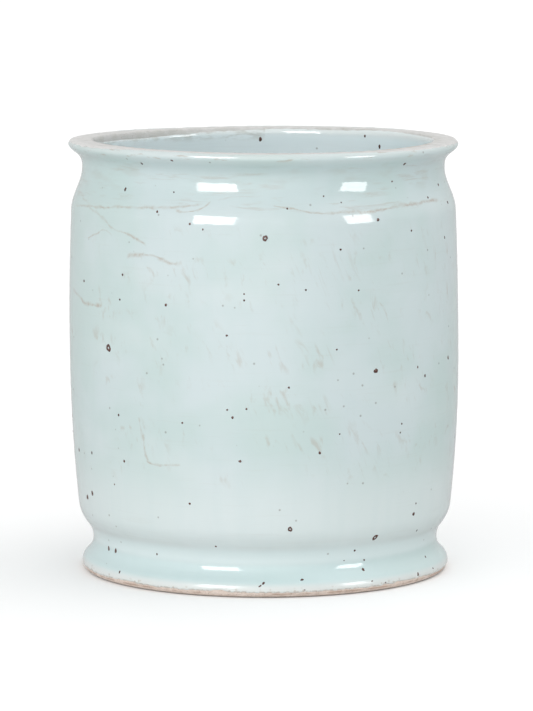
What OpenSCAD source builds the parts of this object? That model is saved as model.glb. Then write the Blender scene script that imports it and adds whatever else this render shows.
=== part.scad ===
// A wheel-thrown stoneware brush pot: an everted lip, a drawn-in neck, a barrel body, a drawn-in
// waist and a flared foot that is left bare where it stands. Millimetres, +Z up, with the origin
// at the middle of the foot, on the surface that the pot stands on.
// Every sub-part is one outline turned about +Z, and an outline point is [radius, height].

/* [Overall] */
// Height from the foot to the top of the lip
height = 177; // [160:0.1:200]
// Widest diameter, at the belly
belly_d = 160; // [140:1:190]
// Height of the belly above the foot
belly_z = 90; // [76:1:106]

/* [Outline, drawn in from the belly] */
// How far the edge of the lip is in from the belly
lip_in = 0.25; // [0:0.05:1]
// How far the flare under the lip is in, where it leans out the most
flare_in = 3; // [2.6:0.1:3.4]
// How far the neck is in
neck_in = 5.75; // [5.2:0.05:6.5]
// How far the shoulder is in, where the body turns to the neck
shoulder_in = 1.1; // [0.6:0.1:1.8]
// How far the hip is in, where the body turns to the waist
hip_in = 3.2; // [2.4:0.1:4]
// How far the outline is in between hip and waist, where it leans out the most
haunch_in = 6.9; // [6.5:0.1:7.3]
// How far the waist is in
waist_in = 9; // [8:0.1:9.8]
// How far the foot is in where it leans the most
ankle_in = 6.25; // [5.8:0.05:6.8]
// How far the widest part of the foot is in
foot_in = 4.4; // [3.6:0.1:5.2]
// How far the outer edge of the face that the pot stands on is in
rest_in = 8.8; // [7.8:0.1:9.4]

/* [Heights] */
// Depth of the edge of the lip below the top
lip_drop = 1.9; // [1.5:0.1:2]
// Depth below the top where the flare leans out the most
flare_drop = 5.1; // [4.7:0.1:5.5]
// Depth of the neck below the top
neck_drop = 11.5; // [10.5:0.1:13]
// Depth of the shoulder below the top
shoulder_drop = 28.2; // [25.2:0.5:33.2]
// Height of the hip above the foot
hip_z = 27.5; // [25:0.5:31]
// Height where the outline between waist and hip leans out the most
haunch_z = 19.3; // [18.7:0.1:19.9]
// Height of the waist, where the foot ring is luted on
waist_z = 12.7; // [11:0.1:14]
// Height where the foot leans the most
ankle_z = 7; // [6.4:0.1:7.6]
// Height of the widest part of the foot
foot_z = 2.8; // [2.6:0.1:3.4]

/* [Walls] */
// Wall thickness at the belly, glaze included
wall_t = 7; // [6:0.1:9]
// Wall thickness at the neck, glaze included
neck_t = 4.4; // [4:0.1:5.2]
// Width of the flat top of the lip
lip_w = 8; // [7.2:0.1:8.8]
// How far the outer edge of the lip is rounded, inwards
lip_turn = 1.4; // [1.3:0.1:1.8]
// How far the inner edge of the lip is rounded, downwards
rim_round = 3; // [2.4:0.1:3.6]
// How far it is rounded, inwards
rim_in = 1.2; // [0.8:0.1:1.6]
// Thickness of the floor disc
floor_t = 10; // [9:0.5:14]
// Depth of the recess under the floor disc
recess = 7; // [5.5:0.1:8]
// Width of the ring-shaped face that the pot stands on
rest_w = 4.6; // [4:0.1:5.6]
// Radius of the corner between the inside wall and the floor
heel_r = 12; // [8:0.5:16]

/* [Glaze] */
// Thickness of the glaze
glaze_t = 0.8; // [0.6:0.05:1]
// Thickness of the dry film left on the wiped lip
film_t = 0.3; // [0.2:0.05:0.4]
// Height of the bare band between the rest and the outer glaze
bare_z = 2.4; // [1.8:0.1:2.5]
// How far round the inner edge of the lip the glaze was wiped off, in degrees
wiped = 52; // [40:1:64]

/* [Hidden] */
$fn = 180;

clay_colour = [0.74, 0.67, 0.58];
glaze_colour = [0.80, 0.88, 0.88];
film_colour = [0.81, 0.78, 0.74];

// Points on each long curve, and on each bend
curve_steps = 12;
bend_steps = 6;

up = [0, 1];
inward = [-1, 0];

belly_r = belly_d / 2;
lip_r = belly_r - lip_in;
flare_r = belly_r - flare_in;
neck_r = belly_r - neck_in;
shoulder_r = belly_r - shoulder_in;
hip_r = belly_r - hip_in;
haunch_r = belly_r - haunch_in;
waist_r = belly_r - waist_in;
ankle_r = belly_r - ankle_in;
foot_r = belly_r - foot_in;
rest_r = belly_r - rest_in;
lip_z = height - lip_drop;
flare_z = height - flare_drop;
neck_z = height - neck_drop;
shoulder_z = height - shoulder_drop;

// The lip is rounded at both edges of its flat top, and the bore starts below the inner one
lip_flat_r = lip_r - lip_turn;
rim_r = lip_flat_r - lip_w;
bore_top_r = rim_r - rim_in;
bore_top_z = height - rim_round;
bore_neck_r = neck_r - neck_t;
bore_belly_r = belly_r - wall_t;
bore_hip_r = hip_r - wall_t;

// The floor disc plugs the bottom of the wall and the top of the foot ring
disc_top_z = recess + floor_t;
inside_floor_z = disc_top_z + glaze_t;
rest_round = 1.2;
disc_r = rest_r - rest_w - rest_round;
under_corner_r = 2.4;

// How far the outline leans out for each millimetre up, where a barrel curve meets the belly
function barrel_lean(drawn_in, rise) = 2 * drawn_in / rise;

// Smooth curve up or down from station a to station b, without b itself. A station is
// [radius, height, lean], and the curve has its lean there.
function glide(a, b) =
    [for (i = [0 : curve_steps - 1])
        let (t = i / curve_steps, rise = b.y - a.y)
            [(1 + 2 * t) * pow(1 - t, 2) * a.x + t * pow(1 - t, 2) * rise * a.z
                + t * t * (3 - 2 * t) * b.x + t * t * (t - 1) * rise * b.z,
             a.y + rise * t]];

// Smooth curve through all the stations, with the last one
function flow(stations) = concat(
    [for (i = [0 : len(stations) - 2]) each glide(stations[i], stations[i + 1])],
    [let (last = stations[len(stations) - 1]) [last.x, last.y]]);

// Part of an ellipse about a centre, from angle a through turn
function bend(centre, rx, ry, a, turn) =
    [for (i = [0 : bend_steps])
        let (b = a + turn * i / bend_steps)
            [centre.x + rx * cos(b), centre.y + ry * sin(b)]];

function tail(path) = [for (i = [1 : len(path) - 1]) path[i]];
function backwards(path) = [for (i = [len(path) - 1 : -1 : 0]) path[i]];
function unit(v) = v / norm(v);

// A path moved to its left by d, square to itself, with its directions at both ends given
function beside(path, d, first, last) =
    [for (i = [0 : len(path) - 1])
        let (along = i == 0 ? first : i == len(path) - 1 ? last : unit(path[i + 1] - path[i - 1]))
            path[i] + d * [-along.y, along.x]];

// Outside of the foot, from the bottom of the glaze up to the waist
ankle_lean = -0.95;
foot_outside = concat([[foot_r, bare_z]], flow([
    [foot_r, foot_z, 0],
    [ankle_r, ankle_z, ankle_lean],
    [waist_r, waist_z, 0]]));

// Outside of the body, from the waist up and over the edge of the lip
haunch_lean = 0.8;
hip_lean = barrel_lean(hip_in, belly_z - hip_z);
shoulder_lean = barrel_lean(shoulder_in, belly_z - shoulder_z);
flare_lean = 1.35;
body_outside = concat(
    flow([
        [waist_r, waist_z, 0],
        [haunch_r, haunch_z, haunch_lean],
        [hip_r, hip_z, hip_lean],
        [belly_r, belly_z, 0],
        [shoulder_r, shoulder_z, shoulder_lean],
        [neck_r, neck_z, 0],
        [flare_r, flare_z, flare_lean],
        [lip_r, lip_z, 0]]),
    tail(bend([lip_flat_r, lip_z], lip_turn, lip_drop, 0, 90)));

// Wiped top of the lip, from the outer glaze over to where the glaze of the bore starts
rim_centre = [rim_r, bore_top_z];
lip_top = concat([[lip_flat_r, height]], bend(rim_centre, rim_in, rim_round, 90, wiped));
wiped_way = unit([-rim_in * cos(wiped), -rim_round * sin(wiped)]);

// Inside of the pot, from the lip down to the middle of the floor
inside = concat(
    bend(rim_centre, rim_in, rim_round, 90 + wiped, 90 - wiped),
    tail(flow([
        [bore_top_r, bore_top_z, 0],
        [bore_neck_r, neck_z, 0],
        [bore_belly_r, shoulder_z, 0],
        [bore_belly_r, belly_z, 0],
        [bore_hip_r, inside_floor_z + heel_r, 0]])),
    tail(bend([bore_hip_r - heel_r, inside_floor_z + heel_r], heel_r, heel_r, 0, -90)),
    [[0, inside_floor_z]]);

// Glazed underside, from the bottom of its glaze up and over to the middle
underside = concat(
    [[disc_r - glaze_t, rest_round]],
    bend([disc_r - glaze_t - under_corner_r, recess - glaze_t - under_corner_r],
            under_corner_r, under_corner_r, 0, 90),
    [[0, recess - glaze_t]]);

// The clay's own outlines, under the glaze and the film
foot_clay = beside(foot_outside, glaze_t, up, up);
body_clay = beside(body_outside, glaze_t, up, inward);
lip_clay = beside(lip_top, film_t, inward, wiped_way);
inside_clay = beside(inside, glaze_t, wiped_way, inward);

module turned(outline, colour) {
    color(colour)
        rotate_extrude()
            polygon(outline);
}

// Thrown wall with its lip. Its bottom sits on the foot ring, round the edge of the floor disc.
module clay_wall() {
    inside_to_floor = [for (i = [0 : len(inside_clay) - 2]) inside_clay[i]];
    turned(concat(body_clay, lip_clay, inside_to_floor,
                  [[disc_r, disc_top_z], [disc_r, waist_z]]),
           clay_colour);
}

// Clay slab that closes the pot
module floor_disc() {
    color(clay_colour)
        translate([0, 0, recess])
            cylinder(r = disc_r, h = floor_t);
}

// Foot ring luted under the wall. It is bare where it stands.
module foot_ring() {
    bare_edge = bend([rest_r, bare_z], foot_r - glaze_t - rest_r, bare_z, -90, 90);
    inner_edge = bend([disc_r + rest_round, rest_round], rest_round, rest_round, 180, 90);
    turned(concat(bare_edge, tail(foot_clay), [[disc_r, waist_z]], inner_edge), clay_colour);
}

// Glaze outside, from just above the rest up and over the edge of the lip
module outer_glaze() {
    turned(concat(foot_outside, tail(body_outside), backwards(body_clay),
                  tail(backwards(foot_clay))),
           glaze_colour);
}

// Glaze in the bore and on the floor
module inner_glaze() {
    turned(concat(inside, backwards(inside_clay)), glaze_colour);
}

// Glaze in the recess under the floor
module base_glaze() {
    turned(concat(underside, [[0, recess], [disc_r, recess], [disc_r, rest_round]]),
           glaze_colour);
}

// Thin dry film over the wiped top of the lip
module lip_film() {
    turned(concat(lip_top, backwards(lip_clay)), film_colour);
}

clay_wall();
floor_disc();
foot_ring();
outer_glaze();
inner_glaze();
base_glaze();
lip_film();
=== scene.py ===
import math

import bpy
import numpy as np
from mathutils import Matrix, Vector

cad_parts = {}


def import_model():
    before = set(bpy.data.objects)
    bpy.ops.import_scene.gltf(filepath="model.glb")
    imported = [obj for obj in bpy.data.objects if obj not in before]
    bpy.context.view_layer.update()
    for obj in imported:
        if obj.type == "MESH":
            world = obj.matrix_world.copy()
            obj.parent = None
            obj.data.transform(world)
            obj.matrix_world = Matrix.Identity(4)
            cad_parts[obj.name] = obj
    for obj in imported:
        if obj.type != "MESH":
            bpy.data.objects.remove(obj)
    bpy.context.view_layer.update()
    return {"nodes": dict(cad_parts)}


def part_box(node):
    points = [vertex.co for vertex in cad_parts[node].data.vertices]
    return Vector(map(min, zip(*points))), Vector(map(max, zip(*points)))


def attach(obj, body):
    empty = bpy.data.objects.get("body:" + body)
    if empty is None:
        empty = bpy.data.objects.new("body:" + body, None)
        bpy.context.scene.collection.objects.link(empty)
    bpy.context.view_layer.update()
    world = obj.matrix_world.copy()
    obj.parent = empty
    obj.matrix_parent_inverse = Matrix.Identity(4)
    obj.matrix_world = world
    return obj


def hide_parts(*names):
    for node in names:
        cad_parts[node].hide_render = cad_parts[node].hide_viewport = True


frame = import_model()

# A wheel-thrown stoneware brush pot under a pale blue-green glaze. Its skin is one path, up the
# outside, over the lip and down the bore, and most pieces are closed grids laid along that path.
# The pot's own sizes are in millimetres and degrees here, and azimuth 0 faces the camera.
# Vertices are in metres, like the frame.

MM = 0.001
TURN = 2 * math.pi

# ---------------------------------------------------------------------------------------------
# Sizes. The frame gives the driving ones, and the others are those of the CAD outline, except
# that the ankle of the foot leans a little more.

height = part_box("lip_film")[1].z / MM
belly_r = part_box("outer_glaze")[1].x / MM
bare_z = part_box("outer_glaze")[0].z / MM
waist_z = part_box("foot_ring")[1].z / MM
recess_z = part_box("floor_disc")[0].z / MM
disc_top_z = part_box("floor_disc")[1].z / MM
disc_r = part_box("floor_disc")[1].x / MM

belly_z = 90
lip_r, lip_z = belly_r - 0.25, height - 1.9
flare_r, flare_z = belly_r - 3, height - 5.1
neck_r, neck_z = belly_r - 5.75, height - 11.5
shoulder_r, shoulder_z = belly_r - 1.1, height - 28.2
hip_r, hip_z = belly_r - 3.2, 27.5
haunch_r, haunch_z = belly_r - 6.9, 19.3
waist_r = belly_r - 9
ankle_r, ankle_z = belly_r - 6.25, 7
foot_r, foot_z = belly_r - 4.4, 2.8
rest_r, rest_round = belly_r - 8.8, 1.2
wall_t, neck_t = 7, 4.4
lip_turn, lip_w = 1.4, 8
lip_flat_r = lip_r - lip_turn
rim_r = lip_flat_r - lip_w
rim_round_r, rim_round_z = 1.2, 3
glaze_t = 0.8
heel_r = 12
floor_z = disc_top_z + glaze_t
under_corner_r = 2.4

# How deep the clay lies under the skin at the two edges of the outer glaze, where it is thin
foot_edge_t = 0.4
lip_edge_t = 0.3
film_depth = 0.2

# How far the thrown pot is from a true one
lean = 0.85
oval = 0.3
rim_wave = 0.35
rings_out, rings_in = 0.035, 0.16
swell = 0.06


# ---------------------------------------------------------------------------------------------
# The skin: an outline of [radius, height] points that knows its own length

def glide(a, b, steps):
    """Smooth curve from station a to station b, without b. A station is radius, height, lean."""
    t = np.arange(steps) / steps
    rise = b[1] - a[1]
    radius = ((1 + 2 * t) * (1 - t) ** 2 * a[0] + t * (1 - t) ** 2 * rise * a[2]
              + t * t * (3 - 2 * t) * b[0] + t * t * (t - 1) * rise * b[2])
    return np.column_stack([radius, a[1] + rise * t])


def quarter(centre, rx, ry, start, turn, steps):
    """Part of an ellipse from an angle through a turn, without its last point."""
    angle = np.radians(start + turn * np.arange(steps) / steps)
    return np.column_stack([centre[0] + rx * np.cos(angle), centre[1] + ry * np.sin(angle)])


def straight(a, b, steps):
    """Points from a towards b, without b."""
    return np.linspace(a, b, steps, endpoint=False)


class Path:
    """Named stretches of outline joined end to end, asked for points by length along them."""

    def __init__(self, stretches, end):
        self.points = np.vstack([points for _, points in stretches] + [[end]])
        steps = np.linalg.norm(np.diff(self.points, axis=0), axis=1)
        self.lengths = np.concatenate([[0], np.cumsum(steps)])
        firsts = np.cumsum([0] + [len(points) for _, points in stretches])
        self.start = {name: self.lengths[first] for (name, _), first in zip(stretches, firsts)}
        self.end = self.lengths[-1]
        along = np.gradient(self.points, self.lengths, axis=0)
        along /= np.linalg.norm(along, axis=1)[:, None]
        self.outward = np.column_stack([along[:, 1], -along[:, 0]])

    def at(self, length, depth):
        """Radius and height of the points at these lengths, this deep under the skin."""
        here = [np.interp(length, self.lengths, self.points[:, i]) for i in (0, 1)]
        out = [np.interp(length, self.lengths, self.outward[:, i]) for i in (0, 1)]
        return here[0] - depth * out[0], here[1] - depth * out[1]

    def rows(self, start, end):
        """The path's own lengths between two, as parts of the way from start to end."""
        inside = self.lengths[(self.lengths > start + 0.3) & (self.lengths < end - 0.3)]
        return np.concatenate([[0], (inside - start) / (end - start), [1]])


hip_lean = 2 * (belly_r - hip_r) / (belly_z - hip_z)
shoulder_lean = 2 * (belly_r - shoulder_r) / (belly_z - shoulder_z)
waist = (waist_r, waist_z, 0)
haunch = (haunch_r, haunch_z, 0.8)
hip = (hip_r, hip_z, hip_lean)
belly = (belly_r, belly_z, 0)
shoulder = (shoulder_r, shoulder_z, shoulder_lean)
neck, flare, lip = (neck_r, neck_z, 0), (flare_r, flare_z, 1.35), (lip_r, lip_z, 0)
ankle = (ankle_r, ankle_z, -1.1)
bore_top = (rim_r - rim_round_r, height - rim_round_z, 0)
bore_neck = (neck_r - neck_t, neck_z, 0)
bore_shoulder = (belly_r - wall_t, shoulder_z, 0)
bore_belly = (belly_r - wall_t, belly_z, 0)
bore_hip = (hip_r - wall_t, floor_z + heel_r, 0)

skin = Path([
    ("rest", quarter((rest_r, bare_z), foot_r - rest_r, bare_z + glaze_t, -90, 90, 24)),
    ("bare", straight((foot_r, bare_z), (foot_r, foot_z), 2)),
    ("foot", glide((foot_r, foot_z, 0), ankle, 10)),
    ("ankle", glide(ankle, waist, 12)),
    ("waist", glide(waist, haunch, 10)),
    ("haunch", glide(haunch, hip, 8)),
    ("hip", glide(hip, belly, 20)),
    ("belly", glide(belly, shoulder, 20)),
    ("shoulder", glide(shoulder, neck, 15)),
    ("neck", glide(neck, flare, 12)),
    ("flare", glide(flare, lip, 10)),
    ("lip", quarter((lip_flat_r, lip_z), lip_turn, height - lip_z, 0, 90, 12)),
    ("flat", straight((lip_flat_r, height), (rim_r, height), 14)),
    ("rim", quarter((rim_r, bore_top[1]), rim_round_r, rim_round_z, 90, 90, 8)),
    ("bore", glide(bore_top, bore_neck, 8)),
    ("bore_neck", glide(bore_neck, bore_shoulder, 8)),
    ("bore_shoulder", glide(bore_shoulder, bore_belly, 20)),
    ("bore_belly", glide(bore_belly, bore_hip, 20)),
    ("heel", quarter((bore_hip[0] - heel_r, bore_hip[1]), heel_r, heel_r, 0, -90, 12)),
    ("floor", straight((bore_hip[0] - heel_r, floor_z), (0.5, floor_z), 30)),
], (0.5, floor_z))


# ---------------------------------------------------------------------------------------------
# Unevenness of a thrown pot. Every noise here closes on itself round the pot.

def waves(seed, most_turns, longest_rise, shortest_rise, count=16):
    """Smooth noise over azimuth (radians) and height (mm), about -1 to 1."""
    rng = np.random.default_rng(seed)
    turns = rng.integers(0, most_turns + 1, count)
    rises = TURN / rng.uniform(shortest_rise, longest_rise, count) * rng.choice([-1, 1], count)
    phases = rng.uniform(0, TURN, count)

    def noise(azimuth, z):
        total = 0
        for turn, rise, phase in zip(turns, rises, phases):
            total = total + np.cos(turn * azimuth + rise * z + phase)
        return total / math.sqrt(count)

    return noise


def rough_line(seed, turns, count=24):
    """Smooth noise round the pot, about -1 to 1, of between turns[0] and turns[1] waves."""
    rng = np.random.default_rng(seed)
    many = rng.integers(turns[0], turns[1] + 1, count)
    phases = rng.uniform(0, TURN, count)
    return lambda azimuth: sum(
        np.cos(k * azimuth + phase) for k, phase in zip(many, phases)) / math.sqrt(count / 2)


def rough_edge(*layers):
    """How far an edge strays at each azimuth. A layer is a seed, its waves and its size."""
    lines = [(rough_line(seed, turns), size) for seed, turns, size in layers]
    return lambda azimuth: sum(size * line(azimuth) for line, size in lines)


slow_noise = waves(11, 5, 140, 45)
spiral_drift = waves(12, 3, 160, 60)
dry_unevenness = waves(13, 90, 9, 4)


def thrown_surface(azimuth, z, depth, turn_height, drift, fade_in, fade_out):
    """Finger rings that climb as a spiral, and slow swells. Each fade is two heights, from none
    of the rings to all of them."""
    climb = z / turn_height - azimuth / TURN + drift * spiral_drift(azimuth, z)
    rings = np.ones_like(climb)
    for none, full in (fade_in, fade_out):
        rings = rings * np.clip((z - none) / (full - none), 0, 1)
    return depth * np.sin(TURN * climb) * rings + swell * slow_noise(azimuth, z)


def thrown(azimuth, z):
    """How far the outside stands proud. Its rings are faint."""
    return thrown_surface(azimuth, z, rings_out, turn_height=7.5, drift=0.35,
                          fade_in=(20, 40), fade_out=(159, 139))


def thrown_inside(azimuth, z):
    """The same inside, where the fingers left deeper rings."""
    return thrown_surface(azimuth, z, rings_in, turn_height=9, drift=0.3,
                          fade_in=(24, 40), fade_out=(166, 152))


def place(azimuth, radius, z):
    """Where a point of the true pot lies on the thrown one, in metres, as [..., 3]."""
    azimuth, radius, z = np.broadcast_arrays(azimuth, radius, z)
    up = z / height
    out = radius / belly_r
    radius = radius + oval * up * out * np.cos(2 * azimuth - 1.4)
    z = z + rim_wave * up ** 4 * out * np.sin(2 * azimuth - 2.44)
    x = radius * np.sin(azimuth) - lean * up
    return np.stack([x, -radius * np.cos(azimuth), z], axis=-1) * MM


# ---------------------------------------------------------------------------------------------
# Meshes

def columns(count):
    """Azimuths of a grid's columns."""
    return TURN * np.arange(count) / count


def outwards(vertices, triangles):
    """The triangles of a closed mesh, all turned if they face inwards."""
    a, b, c = (vertices[triangles[:, i]] - vertices.mean(axis=0) for i in range(3))
    volume = np.einsum("ij,ij->i", a, np.cross(b, c)).sum()
    return triangles if volume > 0 else triangles[:, ::-1]


def mesh_piece(name, vertices, triangles, look, replaces=()):
    """A smooth piece of the pot."""
    mesh = bpy.data.meshes.new(name)
    mesh.from_pydata(vertices, [], triangles)
    mesh.shade_smooth()
    mesh.materials.append(look)
    piece = bpy.data.objects.new(name, mesh)
    bpy.context.scene.collection.objects.link(piece)
    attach(piece, "root")
    if replaces:
        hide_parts(*replaces)
    return piece


def grid_triangles(rows, cols, closed):
    """Triangles of a grid that runs round in its columns, and in its rows too if closed."""
    i = np.arange(rows if closed else rows - 1)[:, None]
    j = np.arange(cols)[None, :]
    near, far = i * cols, (i + 1) % rows * cols
    here, there = j, (j + 1) % cols
    quads = [near + here, near + there, far + there, far + here]
    a, b, c, d = (np.broadcast_to(q, (len(i), cols)).ravel() for q in quads)
    return np.vstack([np.column_stack([a, b, c]), np.column_stack([a, c, d])])


def ring_piece(name, grid, look, replaces=()):
    """A ring: grid is [row, column, xyz], and the last row joins the first."""
    rows, cols = grid.shape[:2]
    vertices = grid.reshape(-1, 3)
    triangles = outwards(vertices, grid_triangles(rows, cols, True))
    return mesh_piece(name, vertices, triangles, look, replaces)


def capped(grid):
    """Vertices and triangles of a dish, whose first and last rows close on to their middles."""
    rows, cols = grid.shape[:2]
    first, last = rows * cols, rows * cols + 1
    j = np.arange(cols)
    first_cap = np.column_stack([np.full(cols, first), (j + 1) % cols, j])
    last_cap = np.column_stack([np.full(cols, last), (rows - 1) * cols + j,
                                (rows - 1) * cols + (j + 1) % cols])
    vertices = np.vstack([grid.reshape(-1, 3), grid[0].mean(axis=0), grid[-1].mean(axis=0)])
    triangles = np.vstack([grid_triangles(rows, cols, False), first_cap, last_cap])
    return vertices, outwards(vertices, triangles)


def dish_piece(name, grid, look, replaces=()):
    """A dish: grid is [row, column, xyz]."""
    vertices, triangles = capped(grid)
    return mesh_piece(name, vertices, triangles, look, replaces)


def front_rows(start, end, rows, tips, roll):
    """Lengths and depths of a coat's outer face, with each edge rolled down to its tip's depth.
    start and end hold a length for each column, and tips the depth at each end."""
    turn = np.radians(np.linspace(0, 90, 6))[:-1]
    along, down = roll * (1 - np.cos(turn)), 1 - np.sin(turn)
    middle = (start + roll) + rows[:, None] * (end - start - 2 * roll)
    lengths = np.vstack([start + along[:, None], middle, end - along[::-1, None]])
    depths = np.concatenate([tips[0] * down, np.zeros(len(rows)), tips[1] * down[::-1]])
    return lengths, np.broadcast_to(depths[:, None], lengths.shape)


# ---------------------------------------------------------------------------------------------
# Node trees, written as arithmetic

class Signal:
    """A number in a node tree. Arithmetic on it adds the nodes."""

    def __init__(self, tree, socket):
        self.tree, self.socket = tree, socket

    def math(self, operation, *others):
        node = self.tree.nodes.new("ShaderNodeMath")
        node.operation = operation
        for socket, value in zip(node.inputs, (self, *others)):
            feed(socket, value)
        return Signal(self.tree, node.outputs[0])

    def __add__(self, other):
        return self.math("ADD", other)

    def __sub__(self, other):
        return self.math("SUBTRACT", other)

    def __mul__(self, other):
        return self.math("MULTIPLY", other)

    def __abs__(self):
        return self.math("ABSOLUTE")

    def most(self, other):
        return self.math("MAXIMUM", other)

    def power(self, other):
        return self.math("POWER", other)

    def ramp(self, low, high, bottom=0.0, top=1.0):
        """Smooth step: bottom at low, top at high."""
        node = self.tree.nodes.new("ShaderNodeMapRange")
        node.interpolation_type = "SMOOTHSTEP"
        for name, value in (("Value", self), ("From Min", low), ("From Max", high),
                            ("To Min", bottom), ("To Max", top)):
            feed(node.inputs[name], value)
        return Signal(self.tree, node.outputs["Result"])

    def zone(self, start, full, fading, end, outside=0.0):
        """1 between full and fading, and down to a value outside at start and at end."""
        return self.ramp(start, full, outside) * self.ramp(end, fading, outside)


def feed(socket, value):
    """Link a signal into a socket, or set a plain value on it."""
    if isinstance(value, Signal):
        value.tree.links.new(value.socket, socket)
    elif isinstance(value, tuple) and len(value) == 3 and socket.type == "RGBA":
        socket.default_value = (*value, 1)
    else:
        socket.default_value = value


class Look:
    """A material whose tree has the place on the pot ready as signals, in millimetres."""

    REFRACTION = 1.5

    # The colour sockets of a Mix node, whose other kinds of value share their names
    MIX_A, MIX_B, MIX_OUT = 6, 7, 2

    def __init__(self, name):
        self.material = bpy.data.materials.new(name)
        self.material.use_nodes = True
        self.tree = self.material.node_tree
        self.shader = self.tree.nodes["Principled BSDF"]
        self.place = self.vector("SCALE", self.node("ShaderNodeTexCoord", "Object"), 1 / MM)
        self.x, self.y, self.z = self.split(self.place)
        self.azimuth = self.x.math("ARCTAN2", self.y * -1) * (360 / TURN)
        self.radius = (self.x * self.x + self.y * self.y).math("SQRT")

    def node(self, kind, output, **inputs):
        """Add a node, feed its inputs by name and hand back one output."""
        node = self.tree.nodes.new(kind)
        for name, value in inputs.items():
            feed(node.inputs[name.replace("_", " ")], value)
        return Signal(self.tree, node.outputs[output])

    def vector(self, operation, a, b):
        node = self.tree.nodes.new("ShaderNodeVectorMath")
        node.operation = operation
        feed(node.inputs[0], a)
        feed(node.inputs["Scale" if operation == "SCALE" else 1], b)
        return Signal(self.tree, node.outputs["Vector"])

    def split(self, vector):
        node = self.tree.nodes.new("ShaderNodeSeparateXYZ")
        feed(node.inputs[0], vector)
        return [Signal(self.tree, output) for output in node.outputs]

    def noise(self, across, tall=None, detail=2.0, roughness=0.5, shift=0, twist=0.0, at=None):
        """Noise with features about this many millimetres across and tall, about 0 to 1."""
        sizes = (1 / across, 1 / across, 1 / (tall or across))
        moved = self.vector("ADD", at or self.place, (shift * 37.0, shift * 11.0, shift * 23.0))
        return self.node("ShaderNodeTexNoise", 0, Vector=self.vector("MULTIPLY", moved, sizes),
                         Scale=1.0, Detail=detail, Roughness=roughness, Distortion=twist)

    def cells(self, size, feature="F1", shift=0):
        """Distance in millimetres to the nearest of scattered points, or to the cells' walls."""
        node = self.tree.nodes.new("ShaderNodeTexVoronoi")
        node.feature = feature
        moved = self.vector("ADD", self.place, (shift * 29.0, shift * 13.0, shift * 17.0))
        feed(node.inputs["Vector"], moved)
        node.inputs["Scale"].default_value = 1 / size
        return Signal(self.tree, node.outputs["Distance"]) * size

    def dots(self, size, shift, full, gone):
        """Scattered dots, 1 within full millimetres of their middles and 0 beyond gone."""
        return self.cells(size, shift=shift).ramp(full, gone, 1.0, 0.0)

    def mix(self, factor, a, b):
        node = self.tree.nodes.new("ShaderNodeMix")
        node.data_type = "RGBA"
        feed(node.inputs["Factor"], factor)
        feed(node.inputs[self.MIX_A], a)
        feed(node.inputs[self.MIX_B], b)
        return Signal(self.tree, node.outputs[self.MIX_OUT])

    def bump(self, relief, depth):
        """Bump from a relief of 0 to 1 that stands for this many millimetres."""
        normal = self.node("ShaderNodeBump", 0, Height=relief, Distance=depth * MM, Strength=1.0)
        feed(self.shader.inputs["Normal"], normal)

    def finish(self, colour, roughness):
        feed(self.shader.inputs["Base Color"], colour)
        feed(self.shader.inputs["Roughness"], roughness)
        self.shader.inputs["IOR"].default_value = self.REFRACTION
        return self.material


# ---------------------------------------------------------------------------------------------
# Marks in the outer glaze

def drawn_line(look, along, across, points, width):
    """A stained hairline through points of (along, across), as a mask. It wanders and breaks."""
    points = np.array(points, float)
    low, high = points.min(axis=0) - (0, 1), points.max(axis=0) + (0, 1)
    spans = high - low
    node = look.tree.nodes.new("ShaderNodeFloatCurve")
    curve = node.mapping.curves[0]
    for i, (u, v) in enumerate((points - low) / spans):
        if i < 2:
            curve.points[i].location = (u, v)
        else:
            curve.points.new(u, v)
    node.mapping.update()
    feed(node.inputs["Value"], (along - float(low[0])) * float(1 / spans[0]))
    middle = Signal(look.tree, node.outputs[0]) * float(spans[1]) + float(low[1])
    wander = (look.noise(6, detail=3, shift=len(points)) - 0.5) * 1.5
    gap = abs(across - middle + wander)
    fade = 0.06 * float(spans[0])
    ends = (along.ramp(float(low[0]), float(low[0]) + fade)
            * along.ramp(float(high[0]), float(high[0]) - fade))
    worn = look.noise(9, detail=2, shift=3).ramp(0.3, 0.6, 0.4, 1.0)
    beads = look.noise(1.6, detail=2, roughness=0.6, shift=19).ramp(0.42, 0.62, 0.5, 1.0)
    spread = look.noise(4, detail=3, shift=5).ramp(0.35, 0.7, width * 0.8, width * 2.2)
    return gap.ramp(0.0, spread, 1.0, 0.0) * ends * worn * beads


# ---------------------------------------------------------------------------------------------
# Looks

PALE = (0.475, 0.55, 0.56)
GREENER = (0.43, 0.525, 0.515)
MILKY = (0.55, 0.61, 0.61)
POOLED = (0.39, 0.51, 0.515)
UNDER_LIP_SHADE = (0.30, 0.37, 0.34)
THIN = (0.61, 0.62, 0.60)
WAIST_PAINTED_LIGHT = (0.57, 0.67, 0.675)
FOOT_POOL = (0.39, 0.60, 0.61)
TEA = (0.33, 0.25, 0.19)
RUST = (0.30, 0.18, 0.12)
SPECK = (0.16, 0.14, 0.12)
ASHY = (0.36, 0.36, 0.325)
BORE_LIT_PALE = (0.67, 0.745, 0.76)
BORE_LIT_DEEP = (0.63, 0.72, 0.735)
BASE_PALE = (0.55, 0.62, 0.60)
BASE_DEEP = (0.50, 0.58, 0.57)
FILM_GREY = (0.47, 0.47, 0.455)
FILM_PALE = (0.56, 0.555, 0.545)
FILM_EDGE = (0.58, 0.575, 0.565)
BARE_CLAY = (0.53, 0.445, 0.385)
BARE_CLAY_PALE = (0.66, 0.58, 0.525)
FLASHED = (0.58, 0.40, 0.31)
SCORCHED = (0.33, 0.22, 0.16)
GRAIN = (0.26, 0.18, 0.14)
# Painted shadow where the foot meets the floor
CONTACT_SHADOW = (0.22, 0.20, 0.18)
CLAY = (0.50, 0.41, 0.31)
CLAY_PALE = (0.58, 0.50, 0.40)
CLAY_GRAIN = (0.35, 0.26, 0.18)
IRON = (0.045, 0.018, 0.014)
IRON_RED = (0.10, 0.04, 0.03)

# Step between the turning tool's marks in the recess
TOOL_STEP = 3.4

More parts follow.
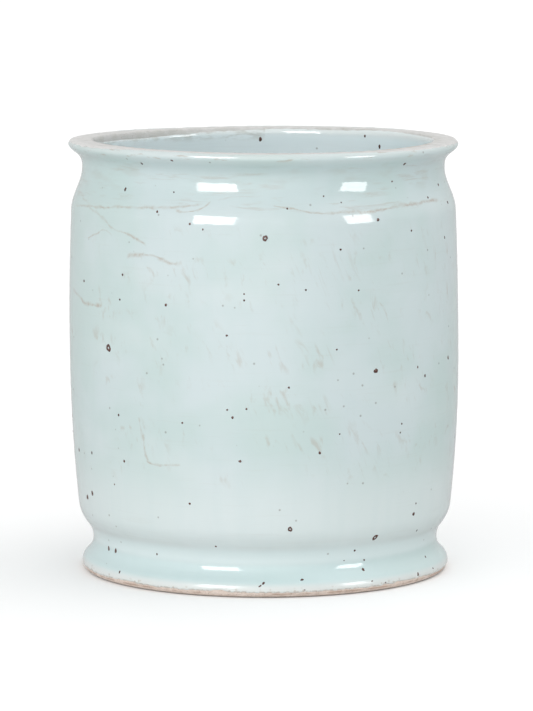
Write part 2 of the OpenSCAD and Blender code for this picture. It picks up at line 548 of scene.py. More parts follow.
# Heights of the zones of the outer glaze: where each starts, is full, fades and ends
NECK_ZONE = (height - 26, height - 15, height - 6, height - 3)
UNDER_LIP_SHADE_ZONE = (height - 6.5, height - 4, height - 3.2, height - 2.4)
FOOT_ZONE = (4.0, 6.5, 11, 15)
WAIST_LIGHT_ZONE = (12.0, 14.5, 17.0, 20.0)
JOINT_ZONE = (17.5, 20.5, 21.5, 24.5)
DAB_ZONE = (42, 52, height - 33, height - 28)
WISP_ZONE = (height - 26, height - 22, height - 6, height - 3)
SMEAR_ZONE = (height - 19, height - 14, height - 6, height - 3)


def outer_glaze_look():
    look = Look("outer_glaze_look")
    clouds = look.noise(42, detail=3, roughness=0.55).ramp(0.35, 0.65)
    milk = look.noise(60, 30, detail=2, shift=2).ramp(0.52, 0.75)
    colour = look.mix(clouds, PALE, GREENER)
    colour = look.mix(milk * 0.35, colour, MILKY)
    # Painted light: paler towards the bottom, for the light the floor throws up on to the lower
    # body
    colour = look.mix(look.z.ramp(62, 30) * 0.8, colour, MILKY)

    # Horizontal drag marks of the wheel, and runs that go down the wall
    drag = look.noise(26, 0.9, detail=3, roughness=0.6, shift=4).ramp(0.55, 0.8)
    runs = look.noise(5, 60, detail=2, shift=6).ramp(0.4, 0.75)
    colour = look.mix(drag * 0.07, colour, TEA)
    colour = look.mix(runs * 0.08, colour, POOLED)

    # Deeper where it pools in the neck and round the foot, paler where it thins at its edges, and
    # painted shade on the right of the foot
    on_foot = look.z.zone(*FOOT_ZONE)
    colour = look.mix(look.z.zone(*NECK_ZONE) * 0.24, colour, POOLED)
    # Darker in the hollow under the lip's bead: pooled glaze and painted shade
    colour = look.mix(look.z.zone(*UNDER_LIP_SHADE_ZONE) * 0.06, colour, UNDER_LIP_SHADE)
    colour = look.mix(on_foot * 0.32, colour, FOOT_POOL)
    # Painted shade: the foot glaze is darker and greener on its right side
    deeper = on_foot * look.azimuth.zone(20, 55, 85, 110)
    colour = look.mix(deeper * 0.4, colour, GREENER)
    # Painted light: the overhang just above the waist is lightened, for light thrown up from the
    # floor
    colour = look.mix(look.z.zone(*WAIST_LIGHT_ZONE) * 0.6, colour, WAIST_PAINTED_LIGHT)
    thin_foot = look.z.ramp(6.2, 3.0) * 0.75
    thin_lip = look.z.ramp(height - 2.8, height - 0.8) * 0.3
    thin = thin_foot.most(thin_lip)
    colour = look.mix(thin * 0.9, colour, THIN)

    # Grit and a broken brown line where the glaze ends above the bare clay
    crumbs = look.dots(1.7, 11, 0.35, 0.75) * look.z.ramp(4.6, 3.2)
    crumbs = crumbs * look.noise(8, detail=2, shift=28).ramp(0.46, 0.58)
    edge = look.noise(2.2, detail=4, roughness=0.7, shift=29).ramp(0.44, 0.6)
    edge = edge * look.z.ramp(3.2, 2.6)
    colour = look.mix((crumbs * 0.55).most(edge * 0.5), colour, TEA)

    # A beige film over the joint of the foot ring
    film = look.noise(24, 1.6, detail=3, shift=17).ramp(0.38, 0.62, 0.1, 1.0)
    film = film * look.azimuth.ramp(60, 10, 0.4, 1.0)
    colour = look.mix(look.z.zone(*JOINT_ZONE) * film * 0.05, colour, TEA)

    # Ghostly dabs in loose rows, denser towards the right
    slanted = look.vector("ADD", look.place, look.node(
        "ShaderNodeCombineXYZ", 0, X=look.z * 0.35, Y=look.z * 0.1))
    short = look.noise(3.8, 9, detail=3, roughness=0.6, shift=7, twist=0.5, at=slanted)
    tall = look.noise(1.9, 16, detail=3, roughness=0.6, shift=18, twist=0.4, at=slanted)
    dabs = short.ramp(0.55, 0.72).most(tall.ramp(0.59, 0.74) * 0.6)
    row_height, row_waver, between_rows = 17, 6, 0.25
    row_phase = (look.z + look.noise(30, shift=8) * row_waver - 7).math("WRAP", row_height, 0.0)
    rows = row_phase.zone(0.0, 5.0, 10.0, row_height, between_rows)
    patches = look.noise(24, 18, detail=1, shift=9) + look.azimuth.ramp(-60, 30, -0.05, 0.05)
    dabs = dabs * rows * patches.ramp(0.45, 0.58) * look.z.zone(*DAB_ZONE)
    colour = look.mix(dabs * 0.34, colour, TEA)

    # Stained hairlines: round the shoulder, down from it on the left, and an angled one low down
    turn, z = look.azimuth, look.z
    lines = [
        drawn_line(look, turn, z, [(-77, 151.5), (-62, 152.5), (-51, 153.3), (-38, 154.4),
                                   (-27, 155.2), (-18, 157)], 0.55),
        drawn_line(look, turn, z, [(-27, 154), (-23, 153.7), (-19, 155), (-16, 158)], 0.5),
        drawn_line(look, turn, z, [(-66, 153), (-55, 148.7), (-50, 145), (-42, 143),
                                   (-36, 139)], 0.6),
        drawn_line(look, turn, z, [(-64, 139.5), (-57, 142.5), (-54, 144), (-50, 140.5)], 0.45),
        drawn_line(look, turn, z, [(-44, 134), (-36, 135.8), (-31, 134.5), (-27, 133),
                                   (-24, 135)], 0.8),
        drawn_line(look, turn, z, [(2, 156.5), (9, 154.8), (15, 153.5), (22, 153)], 0.35),
        drawn_line(look, turn, z, [(17, 153), (25, 153.3), (33, 153.2), (42, 154.4),
                                   (50, 154.8), (66, 155)], 0.7),
        drawn_line(look, z, turn, [(53, -36), (56, -37), (62, -37.8), (71, -38.8)], 0.45),
        drawn_line(look, turn, z, [(-37, 53.5), (-33, 52.2), (-29, 52.6), (-25, 53)], 0.55),
        drawn_line(look, turn, z, [(-77, 117), (-70, 115.5), (-63, 113.2), (-54, 114)], 0.9),
    ]
    stains = lines[0]
    for line in lines[1:]:
        stains = stains.most(line)

    # The same kind of line round the back, from the walls of large cells
    behind = abs(look.azimuth).ramp(80, 105)
    crazed = look.cells(48, "DISTANCE_TO_EDGE") + look.noise(7, detail=3).ramp(0, 1, -0.9, 0.9)
    crazed = abs(crazed).ramp(0.0, 0.7, 1.0, 0.0) * look.noise(40, shift=12).ramp(0.5, 0.6)
    stains = stains.most(crazed * behind * 0.8)
    colour = look.mix(stains * 0.62, colour, TEA)

    # Faint wisps and smears in the neck, rubbed marks at the lip, and fine specks all over
    wisps = look.noise(16, 1.8, detail=4, roughness=0.65, shift=13, twist=0.5).ramp(0.52, 0.72)
    wisps = wisps * look.noise(26, 9, detail=1, shift=20).ramp(0.40, 0.58)
    colour = look.mix(wisps * look.z.zone(*WISP_ZONE) * 0.30, colour, TEA)
    smears = look.noise(14, 5, detail=3, shift=27).ramp(0.5, 0.7) * look.z.zone(*SMEAR_ZONE)
    colour = look.mix(smears * 0.22, colour, ASHY)
    rubbed = look.noise(9, 1.6, detail=4, roughness=0.65, shift=25).ramp(0.56, 0.68)
    rubbed = rubbed * look.z.ramp(height - 3.8, height - 2.4)
    colour = look.mix(rubbed * 0.5, colour, TEA)
    colour = look.mix(look.dots(7.5, 2, 0.30, 0.62) * 0.5, colour, SPECK)

    ripple = look.noise(3.5, detail=2, shift=14) * 0.6 + look.noise(9, detail=1, shift=15)
    look.bump(ripple + stains * -0.5, 0.02)
    gloss = look.noise(12, detail=2, shift=16).ramp(0.3, 0.7, 0.05, 0.09) + stains * 0.15
    return look.finish(colour, gloss + thin * 0.26)


def inner_glaze_look():
    look = Look("inner_glaze_look")
    clouds = look.noise(36, detail=3, shift=21).ramp(0.35, 0.65)
    # The bore's glaze is coloured paler than the outer glaze: painted light, for the light that
    # falls in through the mouth
    colour = look.mix(clouds, BORE_LIT_PALE, BORE_LIT_DEEP)
    drag = look.noise(30, 1.1, detail=3, roughness=0.6, shift=22).ramp(0.5, 0.8)
    colour = look.mix(drag * 0.2, colour, MILKY)
    pooled = look.z.ramp(34, 20) * look.radius.ramp(40, 66)
    colour = look.mix(pooled * 0.6, colour, POOLED)
    colour = look.mix(look.z.ramp(height - 4.5, height - 1.5) * 0.5, colour, THIN)
    smeared = look.noise(7, 2, detail=4, roughness=0.65, shift=26).ramp(0.4, 0.62)
    smeared = smeared * look.azimuth.ramp(-20, -60) * look.z.ramp(height - 7, height - 3)
    colour = look.mix(smeared * 0.5, colour, ASHY)
    colour = look.mix(look.dots(8, 5, 0.30, 0.6) * 0.5, colour, SPECK)
    look.bump(look.noise(4, detail=2, shift=23), 0.02)
    gloss = look.noise(14, detail=2, shift=24).ramp(0.3, 0.7, 0.06, 0.12)
    return look.finish(colour, gloss)


def base_glaze_look():
    look = Look("base_glaze_look")
    clouds = look.noise(24, detail=3, shift=31).ramp(0.35, 0.65)
    colour = look.mix(clouds, BASE_PALE, BASE_DEEP)
    rings = look.radius.math("WRAP", TOOL_STEP, 0.0).zone(0.0, 1.2, 2.0, 3.2)
    colour = look.mix(rings * 0.15, colour, TEA)
    edge = look.radius.ramp(61, 64.5)
    colour = look.mix(edge * 0.5, colour, TEA)
    colour = look.mix(look.dots(6, 8, 0.3, 0.6) * 0.5, colour, SPECK)
    look.bump(rings * 0.5 + look.noise(3, detail=3, shift=32), 0.05)
    return look.finish(colour, look.noise(9, shift=33).ramp(0.3, 0.7, 0.12, 0.3))


def lip_film_look():
    look = Look("lip_film_look")
    mottle = look.noise(5, detail=4, roughness=0.65, shift=41).ramp(0.3, 0.7)
    colour = look.mix(mottle, FILM_GREY, FILM_PALE)
    edge = look.radius.ramp(lip_flat_r - 2.35, lip_flat_r + 0.05)
    colour = look.mix(edge * 0.5, colour, FILM_EDGE)
    inner = look.radius.ramp(rim_r + 2.45, rim_r + 0.05)
    marks = look.noise(9, detail=4, roughness=0.65, shift=42).ramp(0.45, 0.6)
    left = look.azimuth.ramp(-20, -60) * look.azimuth.ramp(-185, -150)
    colour = look.mix(inner * marks * 0.38, colour, ASHY)
    colour = look.mix(inner * left * mottle * 0.10, colour, ASHY)
    front = inner * abs(look.azimuth).ramp(80, 60)
    broken = look.noise(8, detail=3, roughness=0.6, shift=45).ramp(0.4, 0.55, 0.3, 1.0)
    colour = look.mix(front * broken * 0.5, colour, TEA)
    colour = look.mix(look.dots(2.2, 3, 0.15, 0.4) * 0.35, colour, RUST)
    look.bump(look.noise(1.1, detail=4, roughness=0.7, shift=43) + mottle * 0.5, 0.06)
    return look.finish(colour, look.noise(6, shift=44).ramp(0.3, 0.7, 0.35, 0.6))


def bare_clay_look():
    look = Look("bare_clay_look")
    mottle = look.noise(2.5, detail=4, roughness=0.7, shift=51).ramp(0.3, 0.7)
    colour = look.mix(mottle, BARE_CLAY, BARE_CLAY_PALE)
    flashing = look.noise(30, detail=2, shift=52).ramp(0.35, 0.65)
    colour = look.mix(flashing * 0.15, colour, FLASHED)
    scorched = look.z.zone(1.1, 1.5, 1.7, 2.1)
    scorched = scorched * look.noise(7, detail=3, shift=53).ramp(0.42, 0.58)
    colour = look.mix(scorched * 0.7, colour, SCORCHED)
    colour = look.mix(look.dots(0.9, 6, 0.1, 0.28) * 0.55, colour, GRAIN)
    # Painted shadow: darker towards the bottom edge, where the foot meets the floor
    colour = look.mix(look.z.ramp(0.7, 0.25) * 0.75, colour, CONTACT_SHADOW)
    look.bump(look.noise(0.7, detail=4, roughness=0.75, shift=54), 0.12)
    return look.finish(colour, look.noise(3, shift=55).ramp(0.3, 0.7, 0.75, 0.95))


def clay_look():
    look = Look("clay_look")
    mottle = look.noise(4, detail=4, roughness=0.7, shift=61).ramp(0.3, 0.7)
    colour = look.mix(mottle, CLAY, CLAY_PALE)
    colour = look.mix(look.dots(1.6, 9, 0.15, 0.3) * 0.4, colour, CLAY_GRAIN)
    look.bump(look.noise(0.9, detail=4, roughness=0.75, shift=62), 0.15)
    return look.finish(colour, look.noise(5, shift=63).ramp(0.3, 0.7, 0.8, 0.95))


def iron_look():
    look = Look("iron_look")
    mottle = look.noise(0.8, detail=3, roughness=0.6, shift=71).ramp(0.35, 0.65)
    colour = look.mix(mottle, IRON, IRON_RED)
    look.bump(look.noise(0.4, detail=2, shift=72), 0.03)
    return look.finish(colour, look.noise(0.7, shift=73).ramp(0.3, 0.7, 0.12, 0.35))


looks = {
    "outer_glaze": outer_glaze_look(),
    "inner_glaze": inner_glaze_look(),
    "base_glaze": base_glaze_look(),
    "lip_film": lip_film_look(),
    "bare_clay": bare_clay_look(),
    "clay": clay_look(),
    "iron_spot": iron_look(),
}


# ---------------------------------------------------------------------------------------------
# Pieces

foot_stray = rough_edge((21, (3, 14), 0.10), (22, (40, 150), 0.10))
lip_stray = rough_edge((23, (2, 9), 0.22), (24, (30, 90), 0.12))
rim_stray = rough_edge((25, (3, 12), 0.25), (26, (30, 110), 0.07))

# How far the outer glaze reaches below its usual edge and over the edge of the lip, and how much
# of the inner edge of the lip is bare
glaze_below, glaze_over, rim_bare = 0.15, 0.15, 0.9

# Where the glaze stops short of its usual edge at the foot: azimuth, half width, rise
BITES = [(-14.5, 2.6, 0.65), (40, 1.2, 0.6), (46, 1.6, 0.8), (-48, 2.2, 0.3), (97, 2.5, 0.8),
         (142, 1.8, 0.7), (-118, 3.2, 1.0), (-163, 1.6, 0.6)]


def bump_at(azimuth, at, half):
    """A smooth bump of height 1 on a line round the pot. Its place and half width are degrees."""
    gap = (np.degrees(azimuth) - at + 180) % 360 - 180
    return np.exp(-(gap / half) ** 2)


def foot_line(azimuth):
    """Length along the skin where the outer glaze starts, at each azimuth."""
    line = skin.start["bare"] - glaze_below + foot_stray(azimuth)
    for at, half, rise in BITES:
        line = line + rise * bump_at(azimuth, at, half)
    return line


def lip_line(azimuth):
    """Length where the outer glaze ends, just over the edge of the lip or on it at the sides."""
    wiped = 2.0 * np.sin(azimuth) ** 4
    return skin.start["flat"] + glaze_over - wiped + lip_stray(azimuth)


def rim_line(azimuth):
    """Length where the glaze starts inside the rim. It was wiped deeper in at the back left."""
    deeper = 2.6 * bump_at(azimuth, -125, 45)
    return skin.start["rim"] + rim_bare + deeper + rim_stray(azimuth)


def clay_depth(length):
    """Depth of the clay under the skin. The glaze over it thins towards the foot and the lip."""
    thin_to, thick_from, lip_taper = 1, 7, 3
    near_foot = np.clip((skin.start["bare"] + thick_from - length) / (thick_from - thin_to), 0, 1)
    near_lip = np.clip((length - skin.start["flat"] + lip_taper) / lip_taper, 0, 1)
    return (glaze_t - (glaze_t - foot_edge_t) * near_foot
            - (glaze_t - lip_edge_t) * near_lip)


def outside_glaze():
    """Its back follows every third row of its front, just inside the clay."""
    azimuth = columns(520)
    start, end = foot_line(azimuth), lip_line(azimuth)
    rows = skin.rows(skin.start["bare"], skin.start["flat"] + glaze_over)
    tips = (foot_edge_t + 0.08, lip_edge_t + 0.05)
    lengths, depths = front_rows(start, end, rows, tips, roll=0.8)
    radius, z = skin.at(lengths, depths)
    front = place(azimuth, radius + thrown(azimuth, z), z)
    inset = 0.2
    back_lengths = (start + inset) + rows[::-3, None] * (end - start - 2 * inset)
    radius, z = skin.at(back_lengths, clay_depth(back_lengths) + 0.1)
    back = place(azimuth, radius + thrown(azimuth, z), z)
    return ring_piece("glaze_outside", np.concatenate([front, back]),
                      looks["outer_glaze"], ["outer_glaze"])


def dry_lip():
    """The film on the wiped lip. It runs on under the edges of both glazes."""
    azimuth = columns(480)
    under_outer, under_inner, film_t = 1.4, 1.2, 0.5
    start, end = lip_line(azimuth) - under_outer, rim_line(azimuth) + under_inner
    part = np.linspace(0, 1, 34)[:, None]
    lengths = start + part * (end - start)
    radius, z = skin.at(lengths, film_depth)
    z = z + 0.05 * dry_unevenness(azimuth, lengths)
    front = place(azimuth, radius, z)
    back_lengths = start + part[::-3] * (end - start)
    radius, z = skin.at(back_lengths, film_depth + film_t)
    return ring_piece("dry_lip", np.concatenate([front, place(azimuth, radius, z)]),
                      looks["lip_film"], ["lip_film"])


def inside_glaze():
    """Glaze of the bore and the floor. It starts at the lip with a low rolled edge."""
    azimuth = columns(480)
    start = rim_line(azimuth)
    end = np.full_like(start, skin.end)
    rows = skin.rows(skin.start["rim"] + rim_bare, skin.end)
    turn = np.radians(np.linspace(0, 90, 6))[:-1, None]
    roll, edge_depth = 1.6, 0.28
    lengths = np.vstack([start + roll * (1 - np.cos(turn)),
                         start + roll + rows[:, None] * (end - start - roll)])
    depths = np.zeros_like(lengths)
    depths[:len(turn)] = edge_depth * (1 - np.sin(turn))
    radius, z = skin.at(lengths, depths)
    front = place(azimuth, radius - thrown_inside(azimuth, z), z)
    back_lengths = np.linspace(end, start + 0.2, 40)
    radius, z = skin.at(back_lengths, glaze_t)
    back = place(azimuth, radius, z)
    grid = np.concatenate([back, front])
    return dish_piece("glaze_inside", grid, looks["inner_glaze"], ["inner_glaze"])


def thrown_wall():
    """The clay between the two glazes. It sits on the foot, round the floor disc."""
    azimuth = columns(240)
    outside = np.linspace(skin.start["waist"], skin.start["flat"] - 0.4, 110)
    inside = np.linspace(skin.start["bore"], skin.start["floor"], 50)
    over = np.linspace(skin.start["flat"] + 0.4, skin.start["bore"] - 0.3, 14)
    radius, z = skin.at(outside[:, None], clay_depth(outside[:, None]) + 0.12)
    outer = place(azimuth, radius + thrown(azimuth, z), z)
    radius, z = skin.at(over[:, None], film_depth + 0.35)
    top = place(azimuth, radius, z)
    radius, z = skin.at(inside[:, None], glaze_t + 0.02)
    inner = place(azimuth, radius, z)
    corner = place(azimuth, np.full((2, 1), disc_r), np.array([[disc_top_z], [waist_z]]))
    return ring_piece("thrown_wall", np.concatenate([outer, top, inner, corner]),
                      looks["clay"], ["clay_wall"])


def turned_foot():
    """The foot ring. Its bare edge is gritty, and its rest is flat on the ground."""
    azimuth = columns(720)
    outside = np.concatenate([np.linspace(0.3, skin.start["bare"] + 1.8, 30),
                              np.linspace(skin.start["bare"] + 2.4, skin.start["waist"], 12)])
    lengths = np.broadcast_to(outside[:, None], (len(outside), len(azimuth)))
    radius, z = skin.at(lengths, clay_depth(lengths))
    grit = 0.05 * waves(31, 260, 3.0, 0.9, 40)(azimuth, lengths)
    bare = np.clip(1.2 - np.abs(lengths - 2.2) / 3, 0, 1)
    radius = radius + grit * bare
    outer = place(azimuth, radius + thrown(azimuth, z), np.maximum(z, 0))
    top = place(azimuth, np.full((1, 1), disc_r), np.full((1, 1), waist_z))
    inner_edge = quarter((disc_r + rest_round, rest_round), rest_round, rest_round, 180, 90, 8)
    under = np.vstack([inner_edge, straight((disc_r + rest_round, 0), (rest_r, 0), 8)])
    inner = place(azimuth, under[:, :1], under[:, 1:])
    return ring_piece("turned_foot", np.concatenate([outer, top, inner]),
                      looks["bare_clay"], ["foot_ring"])


def underneath_glaze():
    """Glaze in the recess, over the marks of the turning tool."""
    azimuth = columns(240)
    side_r = disc_r - glaze_t
    ceiling = recess_z - glaze_t
    outline = np.vstack([
        straight((side_r, rest_round), (side_r, ceiling - under_corner_r), 4),
        quarter((side_r - under_corner_r, ceiling - under_corner_r),
                under_corner_r, under_corner_r, 0, 90, 8),
        straight((side_r - under_corner_r, ceiling), (0.5, ceiling), 56)])
    turned = 0.12 * np.sin(TURN * outline[:, :1] / TOOL_STEP) * (outline[:, :1] < side_r - 4)
    front = place(azimuth, outline[:, :1], outline[:, 1:] + turned)
    back_line = np.array([(0.5, recess_z), (disc_r, recess_z), (disc_r, rest_round)])
    back = place(azimuth, back_line[:, :1], back_line[:, 1:])
    grid = np.concatenate([front[::-1], back[::-1]])
    return dish_piece("glaze_underneath", grid, looks["base_glaze"],
                      ["base_glaze"])


# ---------------------------------------------------------------------------------------------
# Iron spots: specks of iron that melted through the glaze, as low domes or rings on the wall

# Azimuth, height, width, tallness and tilt
RINGS = [(0.5, 144, 2.1, 2.5, 0), (-51, 97, 3.0, 3.2, 10), (7.5, 28, 2.0, 2.0, 45),
         (36, 22, 3.0, 2.0, 40)]
SPOTS = [(33.5, 90, 2.1, 2.0, 0), (-9, 73, 1.1, 1.1, 0), (-7, 55.5, 1.2, 1.2, 0),
         (51, 29.5, 1.6, 1.6, 30), (-0.5, 6, 1.3, 0.9, 35), (-1.5, 5, 1.6, 0.6, 35),
         (11.5, 7, 1.5, 0.7, 15), (33, 9, 1.3, 1.3, 0), (30, 17, 1.0, 1.0, 0),
         (55, 4, 1.2, 1.6, -20), (16, 58.5, 1.1, 1.3, 0), (-63.5, 12.5, 1.7, 2.0, 0),
         (-58.5, 12.5, 1.7, 2.1, 0), (-51.5, 5.5, 1.0, 1.2, 0), (43.5, 67.5, 0.8, 0.9, 0),
         (43, 64, 0.7, 0.8, 0), (7, 85, 0.9, 0.9, 0), (21, 99.5, 0.8, 0.8, 0),
         (53.5, 85.5, 1.1, 1.3, 0), (50, 89.5, 0.9, 1.1, 0), (68.5, 90.5, 1.5, 1.8, 10),
         (12, 123.5, 0.8, 0.8, 0), (28, 122.5, 0.8, 0.8, 0), (22.5, 139, 1.0, 1.0, 0),
         (35, 150, 1.4, 1.3, -35), (48, 144.5, 0.9, 0.9, 0), (67, 139.5, 1.1, 1.4, 0),
         (59, 156.5, 1.1, 1.0, 0), (72.5, 153, 1.6, 1.3, 0), (7, 155.5, 0.8, 0.8, 0),
         (47.5, 171, 1.5, 1.2, 0), (-47, 160.5, 1.3, 1.6, 0), (-39, 171.4, 1.2, 1.0, 0),
         (-27, 173.6, 1.3, 0.7, -10), (4.2, 125.8, 0.9, 0.9, 0), (-28, 160.8, 0.7, 0.8, 0),
         (18.3, 160, 0.7, 0.7, 0), (23.6, 157.4, 0.6, 0.6, 0), (69.6, 160.4, 1.4, 1.2, 0),
         (43.3, 164.3, 0.9, 0.8, 0), (-15.3, 20.2, 0.8, 0.8, 0), (-37.5, 14.5, 0.9, 0.9, 0),
         (-50.7, 41.7, 0.7, 0.8, 0), (51.8, 33.7, 0.8, 0.9, 0), (55.1, 21.8, 0.9, 0.9, 0),
         (22, 65.7, 0.7, 0.7, 0), (64.9, 8.9, 1.1, 0.9, 0), (34, 12.6, 0.9, 0.8, 0),
         (26.4, 13.2, 0.6, 0.5, 0), (34.6, 4.6, 1.0, 0.5, 10), (39.7, 3.3, 0.9, 0.5, 0),
         (65, 4.4, 1.0, 0.7, 0), (12, 3.2, 0.8, 0.4, 0), (-32.5, 153, 1.0, 1.0, 0),
         (-21.5, 149, 1.0, 1.0, 0), (-17.5, 147, 0.8, 0.9, 0), (-45, 127, 1.0, 1.1, 0),
         (-65.5, 122, 1.3, 1.2, 0), (-46, 117, 0.9, 0.9, 0), (-29, 116.5, 1.2, 1.2, 0),
         (-5.5, 119.5, 0.9, 0.9, 0), (-5.5, 122, 0.7, 0.7, 0), (-10.5, 105.5, 1.0, 1.0, 0),
         (-47, 70.5, 1.1, 1.1, 0), (-10.5, 76, 0.8, 0.8, 0), (-5, 76.5, 0.8, 0.9, 0),
         (-24, 70, 0.9, 0.9, 0), (-62.5, 52.5, 1.2, 1.4, 0), (-45.5, 52, 1.0, 1.3, 0),
         (-74, 51.5, 1.8, 1.6, 0), (-22.5, 37.5, 1.0, 1.0, 0), (-69, 33, 2.2, 2.2, 0),
         (-64.5, 35.5, 2.0, 2.1, 0)]
INSIDE_SPOTS = [(-179, 171.8, 1.6, 2.0, 0), (141.5, 173.9, 1.2, 1.2, 0),
                (135, 169.8, 1.4, 1.9, 20)]

# Half a section of a spot, from the middle out: part of its half width, and how far it stands
# proud there
RING_PROFILE = [(0.24, -0.02), (0.32, 0.03), (0.5, 0.1), (0.75, 0.09), (0.92, 0.04), (1.0, -0.02)]
DOME_PROFILE = [(0.25, 0.1), (0.5, 0.09), (0.75, 0.06), (0.92, 0.03), (1.0, -0.02)]
# Where its hidden back lies, and the width from which it stands its full height
SPOT_BACK = -0.3
FULL_HEIGHT_WIDTH = 1.5
# How ragged its outline is: waves round it, and their size
RAGGED = [(2, 0.07), (3, 0.06), (5, 0.04)]


def wall_radius(z):
    """Radius of the outside at a height, below the lip."""
    outer = skin.lengths <= skin.start["lip"]
    return np.interp(z, skin.points[outer, 1], skin.points[outer, 0])


def bore_radius(z):
    """Radius of the bore at a height."""
    bore = (skin.lengths >= skin.start["bore"]) & (skin.lengths <= skin.start["heel"])
    return np.interp(z, skin.points[bore, 1][::-1], skin.points[bore, 0][::-1])


def on_wall(azimuth, z, proud):
    return place(azimuth, wall_radius(z) + thrown(azimuth, z) + proud, z)


def on_bore(azimuth, z, proud):
    return place(azimuth, bore_radius(z) - thrown_inside(azimuth, z) - proud, z)


def spot_mesh(spot, surface, ring, rng):
    """Vertices and triangles of one spot: a closed low dome, or a rim round a shallow middle."""
    azimuth, z, across, tall, tilt = spot
    sides = 20
    angle = columns(sides)
    ragged = 1
    for count, size in RAGGED:
        ragged = ragged + size * np.cos(count * angle + rng.uniform(0, TURN))
    profile = RING_PROFILE if ring else DOME_PROFILE
    parts = [part for part, _ in profile + profile[::-1]]
    proud = [p * min(1, across / FULL_HEIGHT_WIDTH) for _, p in profile]
    proud = proud + [SPOT_BACK] * len(profile)
    u = np.outer(parts, across / 2 * ragged * np.cos(angle))
    v = np.outer(parts, tall / 2 * ragged * np.sin(angle))
    turn = math.radians(tilt)
    right = u * math.cos(turn) - v * math.sin(turn)
    up = u * math.sin(turn) + v * math.cos(turn)
    grid = surface(math.radians(azimuth) + right / wall_radius(z), z + up,
                   np.array(proud)[:, None])
    if not ring:
        return capped(grid)
    vertices = grid.reshape(-1, 3)
    return vertices, outwards(vertices, grid_triangles(len(parts), sides, True))


def scattered(count, rng, low, high, allowed):
    """Random small spots where allowed(azimuth in degrees) holds."""
    spots = []
    while len(spots) < count:
        azimuth, z = rng.uniform(-180, 180), rng.uniform(low, high)
        size = 0.6 + rng.exponential(0.35)
        if allowed(azimuth):
            spots.append((azimuth, z, min(size, 2.4), min(size * rng.uniform(0.8, 1.3), 2.6),
                          rng.uniform(-40, 40)))
    return spots


def spots_piece(name, groups, surface, rng):
    """All the spots of one wall as one piece. groups holds (spots, ring or not)."""
    vertices, triangles, used = [], [], 0
    for spots, ring in groups:
        for spot in spots:
            points, corners = spot_mesh(spot, surface, ring, rng)
            vertices.append(points)
            triangles.append(corners + used)
            used += len(points)
    return mesh_piece(name, np.vstack(vertices), np.vstack(triangles),
                      looks["iron_spot"])


outside_glaze()
dry_lip()
inside_glaze()
thrown_wall()
turned_foot()
underneath_glaze()

rng = np.random.default_rng(41)
unseen = scattered(70, rng, 8, 172, lambda azimuth: abs(azimuth) > 76)
spots_piece("iron_spots_outside", [(RINGS, True), (SPOTS + unseen, False)], on_wall, rng)
hidden = scattered(46, rng, 34, 164, lambda azimuth: True)
spots_piece("iron_spots_inside", [(INSIDE_SPOTS + hidden, False)], on_bore, rng)

disc = frame["nodes"]["floor_disc"]
disc.data.materials.clear()
disc.data.materials.append(looks["clay"])


# ---------------------------------------------------------------------------------------------
# Studio

def floor():
    mesh = bpy.data.meshes.new("floor")
    reach = 20
    mesh.from_pydata([(-reach, -reach, 0), (reach, -reach, 0), (reach, reach, 0),
                      (-reach, reach, 0)], [], [(0, 1, 2, 3)])
    paper = bpy.data.materials.new("paper")
    paper.use_nodes = True
    shader = paper.node_tree.nodes["Principled BSDF"]
    shader.inputs["Base Color"].default_value = (0.90, 0.90, 0.90, 1)
    shader.inputs["Roughness"].default_value = 1.0
    shader.inputs["Specular IOR Level"].default_value = 0.0
    mesh.materials.append(paper)
    ground = bpy.data.objects.new("floor", mesh)
    bpy.context.scene.collection.objects.link(ground)
    ground.visible_glossy = False


def softbox(name, azimuth, elevation, width, tall, radiance):
    """A rectangular light that faces the pot and shows in its gloss. The room lights the rest.
    Angles and sizes are in degrees, seen from the pot."""
    distance = 1.6
    aim = np.array([0, 0, height / 2 * MM])
    light = bpy.data.lights.new(name, "AREA")
    light.shape = "RECTANGLE"
    light.size = 2 * distance * math.tan(math.radians(width) / 2)
    light.size_y = 2 * distance * math.tan(math.radians(tall) / 2)
    light.energy = radiance * math.pi * light.size * light.size_y
    lamp = bpy.data.objects.new(name, light)
    lamp.location = aim + distance * np.array(direction(azimuth, elevation))
    lamp.rotation_euler = (math.radians(90 - elevation), 0, math.radians(azimuth))
    lamp.visible_camera = False
    lamp.visible_diffuse = False
    bpy.context.scene.collection.objects.link(lamp)


# Soft light that comes evenly from all sides, and more from some: azimuth, elevation, sharpness
# and strength
EVEN_LIGHT = 0.45
ROOM = [(0, 10, 4, 1.53), (-45, 10, 4, 1.07), (-90, 10, 4, 0.62), (-135, 10, 4, 0.1),
        (180, 10, 4, 0.15), (60, 60, 12, 0.78), (150, 50, 6, 0.88), (-150, 50, 6, 0.25),
        (90, 35, 6, 0.82)]


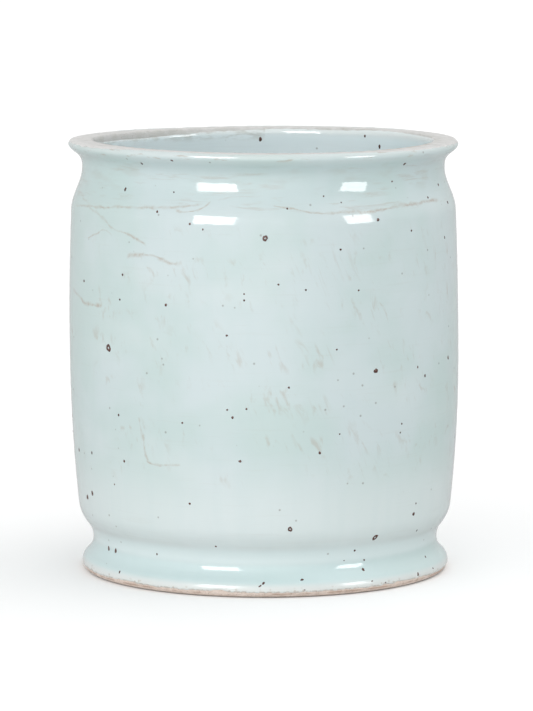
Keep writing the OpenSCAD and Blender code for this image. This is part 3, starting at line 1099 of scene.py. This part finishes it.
def direction(azimuth, elevation):
    turn, rise = math.radians(azimuth), math.radians(elevation)
    return (math.sin(turn) * math.cos(rise), -math.cos(turn) * math.cos(rise), math.sin(rise))


def world():
    """Plain white to the camera, and to the pot a room with broad soft patches of light."""
    room = bpy.data.worlds.new("room")
    bpy.context.scene.world = room
    room.use_nodes = True
    tree = room.node_tree
    tree.nodes.clear()
    ray = tree.nodes.new("ShaderNodeTexCoord").outputs["Generated"]
    light = EVEN_LIGHT
    for azimuth, elevation, sharpness, strength in ROOM:
        dot = tree.nodes.new("ShaderNodeVectorMath")
        dot.operation = "DOT_PRODUCT"
        tree.links.new(ray, dot.inputs[0])
        dot.inputs[1].default_value = direction(azimuth, elevation)
        light = Signal(tree, dot.outputs["Value"]).most(0).power(sharpness) * strength + light
    glow = tree.nodes.new("ShaderNodeBackground")
    feed(glow.inputs["Strength"], light)
    glow.inputs["Color"].default_value = (1, 1, 1, 1)
    white = tree.nodes.new("ShaderNodeBackground")
    white.inputs["Color"].default_value = (1, 1, 1, 1)
    mixer = tree.nodes.new("ShaderNodeMixShader")
    out = tree.nodes.new("ShaderNodeOutputWorld")
    seen = tree.nodes.new("ShaderNodeLightPath").outputs["Is Camera Ray"]
    tree.links.new(seen, mixer.inputs[0])
    tree.links.new(glow.outputs[0], mixer.inputs[1])
    tree.links.new(white.outputs[0], mixer.inputs[2])
    tree.links.new(mixer.outputs[0], out.inputs[0])


def camera():
    """The picture's own view: from a little above the lip, far away and with a long lens."""
    looking_down = 7.27
    eye = bpy.data.cameras.new("camera")
    eye.lens = 210
    eye.clip_end = 100
    shot = bpy.data.objects.new("camera", eye)
    shot.location = (0.00055, -1.695, 0.3038)
    shot.rotation_euler = (math.radians(90 - looking_down), 0, 0)
    bpy.context.scene.collection.objects.link(shot)
    bpy.context.scene.camera = shot


floor()
softbox("left_softbox", -29.5, 15.5, 24.5, 22, 10)
softbox("right_softbox", 57.7, 14, 17.5, 21, 9)
world()
camera()
bpy.context.scene.view_settings.view_transform = "Standard"
